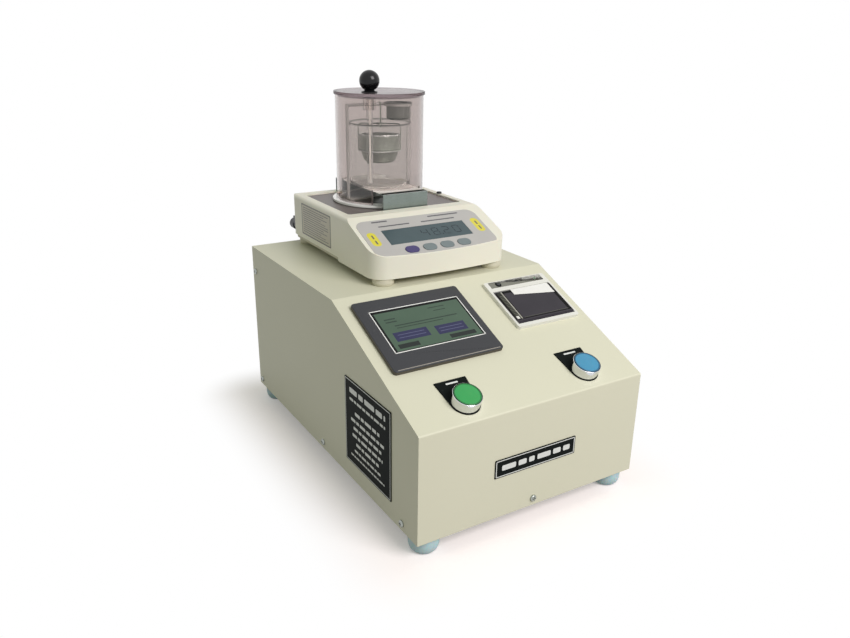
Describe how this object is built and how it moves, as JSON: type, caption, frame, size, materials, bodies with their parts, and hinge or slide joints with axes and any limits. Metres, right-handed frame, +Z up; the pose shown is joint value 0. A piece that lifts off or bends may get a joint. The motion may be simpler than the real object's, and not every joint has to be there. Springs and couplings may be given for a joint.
{
  "type": "benchtop density meter",
  "caption": "Sloped console with touch panel, ticket printer and push buttons, carrying a precision balance with draught shield, bridge, beaker and weighing basket.",
  "frame": {"origin": "middle of the bounding box in X and Y, on the plane the rubber feet stand on", "axes": "+X to the right seen from the front, +Y from the front to the rear, +Z up"},
  "size_m": [0.3048, 0.4744, 0.4675],
  "materials": {
    "cream_paint": "satin powder coat",
    "screw_steel": "bright",
    "foot_rubber": "soft, slightly clear",
    "black_plate": "gloss",
    "charcoal_plastic": "fine grain",
    "touch_glass": "gloss",
    "plain_steel": "brushed",
    "printer_plastic": "satin",
    "dark_plastic": "fine grain",
    "smoked_plastic": "gloss",
    "roller_rubber": "matte",
    "paper": "matte",
    "green_lens": "gloss",
    "blue_lens": "gloss",
    "bezel_chrome": "polished",
    "circuit_board": "gloss",
    "knob_black": "gloss",
    "ivory_plastic": "fine grain",
    "deck_grey": "matte",
    "film_grey": "satin",
    "lcd_window": "gloss",
    "key_violet": "satin",
    "key_grey": "satin",
    "cell_aluminium": "machined",
    "pan_steel": "brushed",
    "ring_white": "gloss",
    "clear_acrylic": "polished",
    "lid_mauve": "gloss",
    "clear_glass": "polished",
    "bridge_steel": "satin",
    "kit_steel": "satin"
  },
  "bodies": {
    "console": {"housing_cover": "cream_paint", "base_tray": "cream_paint", "rear_panel": "cream_paint", "case_screws": "screw_steel", "rubber_feet": "foot_rubber", "front_nameplate": "black_plate", "side_plate": "black_plate", "hmi_bezel": "charcoal_plastic", "hmi_screen": "touch_glass", "hmi_rear_case": "charcoal_plastic", "hmi_clamps": "plain_steel", "printer_frame": "printer_plastic", "printer_body": "dark_plastic", "print_head": "plain_steel", "printer_hinge_pin": "plain_steel", "button_bezels": "bezel_chrome", "legend_plates": "black_plate", "button_nuts": "plain_steel", "contact_blocks": "dark_plastic", "controller_board": "circuit_board", "power_supply": "plain_steel", "power_entry": "dark_plastic", "data_connector": "plain_steel", "balance_base": "ivory_plastic", "balance_housing": "ivory_plastic", "balance_deck": "deck_grey", "balance_fascia": "film_grey", "balance_lcd": "lcd_window", "bubble_level": "dark_plastic", "weigh_cell": "cell_aluminium", "balance_connectors": "dark_plastic", "shield_ring": "ring_white", "bridge": "bridge_steel", "beaker": "clear_glass"},
    "start_button": {"start_cap": "green_lens"},
    "accept_button": {"accept_cap": "blue_lens"},
    "ticket_door": {"printer_door": "smoked_plastic", "paper_tongue": "paper"},
    "platen": {"printer_platen": "roller_rubber"},
    "roll": {"paper_roll": "paper"},
    "feed_key": {"printer_feed_key": "dark_plastic"},
    "rocker": {"power_rocker": "knob_black"},
    "key_1": {"balance_key_1": "key_violet"},
    "key_2": {"balance_key_2": "key_grey"},
    "key_3": {"balance_key_3": "key_grey"},
    "key_4": {"balance_key_4": "key_grey"},
    "foot_1": {"levelling_foot_1": "ivory_plastic"},
    "foot_2": {"levelling_foot_2": "ivory_plastic"},
    "foot_3": {"levelling_foot_3": "ivory_plastic"},
    "foot_4": {"levelling_foot_4": "ivory_plastic"},
    "shield": {"shield_cylinder": "clear_acrylic"},
    "lid": {"shield_lid": "lid_mauve", "lid_knob": "knob_black", "thermometer_bush": "lid_mauve", "thermometer": "clear_glass"},
    "pan": {"weighing_pan": "pan_steel", "pan_support": "cell_aluminium", "weighing_frame": "kit_steel"},
    "dish": {"upper_dish": "kit_steel"},
    "basket": {"basket": "kit_steel"}
  },
  "joints": [
    {"name": "start_press", "type": "slide", "parent": "console", "child": "start_button", "axis": [0, 0.3893, -0.9211], "range_m": [0, 0.0035], "stiffness_N_per_m": 600, "springref_m": -0.002},
    {"name": "accept_press", "type": "slide", "parent": "console", "child": "accept_button", "axis": [0, 0.3893, -0.9211], "range_m": [0, 0.0035], "stiffness_N_per_m": 600, "springref_m": -0.002},
    {"name": "door_hinge", "type": "hinge", "parent": "console", "child": "ticket_door", "pos_m": [0.0905, -0.13081, 0.19378], "axis": [1, 0, 0], "range_deg": [0, 85]},
    {"name": "roll_spin", "type": "hinge", "parent": "console", "child": "roll", "pos_m": [0.0905, -0.09487, 0.17759], "axis": [1, 0, 0], "continuous": true},
    {"name": "platen_spin", "type": "hinge", "parent": "ticket_door", "child": "platen", "pos_m": [0.0905, -0.08364, 0.20547], "axis": [1, 0, 0], "continuous": true},
    {"name": "feed_press", "type": "slide", "parent": "console", "child": "feed_key", "axis": [0, 0.3893, -0.9211], "range_m": [0, 0.0006], "stiffness_N_per_m": 1000, "springref_m": -0.0005},
    {"name": "rocker_tilt", "type": "hinge", "parent": "console", "child": "rocker", "pos_m": [0.109, 0.2208, 0.068], "axis": [-1, 0, 0], "range_deg": [0, 16]},
    {"name": "key_1_press", "type": "slide", "parent": "console", "child": "key_1", "axis": [0, 0.383, -0.9237], "range_m": [0, 0.0005], "stiffness_N_per_m": 1500, "springref_m": -0.0005},
    {"name": "key_2_press", "type": "slide", "parent": "console", "child": "key_2", "axis": [0, 0.383, -0.9237], "range_m": [0, 0.0005], "stiffness_N_per_m": 1500, "springref_m": -0.0005},
    {"name": "key_3_press", "type": "slide", "parent": "console", "child": "key_3", "axis": [0, 0.383, -0.9237], "range_m": [0, 0.0005], "stiffness_N_per_m": 1500, "springref_m": -0.0005},
    {"name": "key_4_press", "type": "slide", "parent": "console", "child": "key_4", "axis": [0, 0.383, -0.9237], "range_m": [0, 0.0005], "stiffness_N_per_m": 1500, "springref_m": -0.0005},
    {"name": "foot_1_turn", "type": "hinge", "parent": "console", "child": "foot_1", "pos_m": [-0.071, -0.0178, 0.233], "axis": [0, 0, 1], "continuous": true},
    {"name": "foot_2_turn", "type": "hinge", "parent": "console", "child": "foot_2", "pos_m": [0.087, -0.0178, 0.233], "axis": [0, 0, 1], "continuous": true},
    {"name": "foot_3_turn", "type": "hinge", "parent": "console", "child": "foot_3", "pos_m": [-0.071, 0.2032, 0.233], "axis": [0, 0, 1], "continuous": true},
    {"name": "foot_4_turn", "type": "hinge", "parent": "console", "child": "foot_4", "pos_m": [0.087, 0.2032, 0.233], "axis": [0, 0, 1], "continuous": true},
    {"name": "shield_lift", "type": "slide", "parent": "console", "child": "shield", "axis": [0, 0, 1], "range_m": [0, 0.14]},
    {"name": "lid_lift", "type": "slide", "parent": "shield", "child": "lid", "axis": [0, 0, 1], "range_m": [0, 0.13]},
    {"name": "pan_deflect", "type": "slide", "parent": "console", "child": "pan", "axis": [0, 0, -1], "range_m": [0, 0.0003], "stiffness_N_per_m": 30000, "springref_m": -0.0003},
    {"name": "dish_lift", "type": "slide", "parent": "pan", "child": "dish", "axis": [0, 0, 1], "range_m": [0, 0.006]},
    {"name": "basket_lift", "type": "slide", "parent": "pan", "child": "basket", "axis": [0, 0, 1], "range_m": [0, 0.0035]}
  ],
  "couplings": [
    {"joint": "platen_spin", "follows": "roll_spin", "ratio": 4.4}
  ]
}
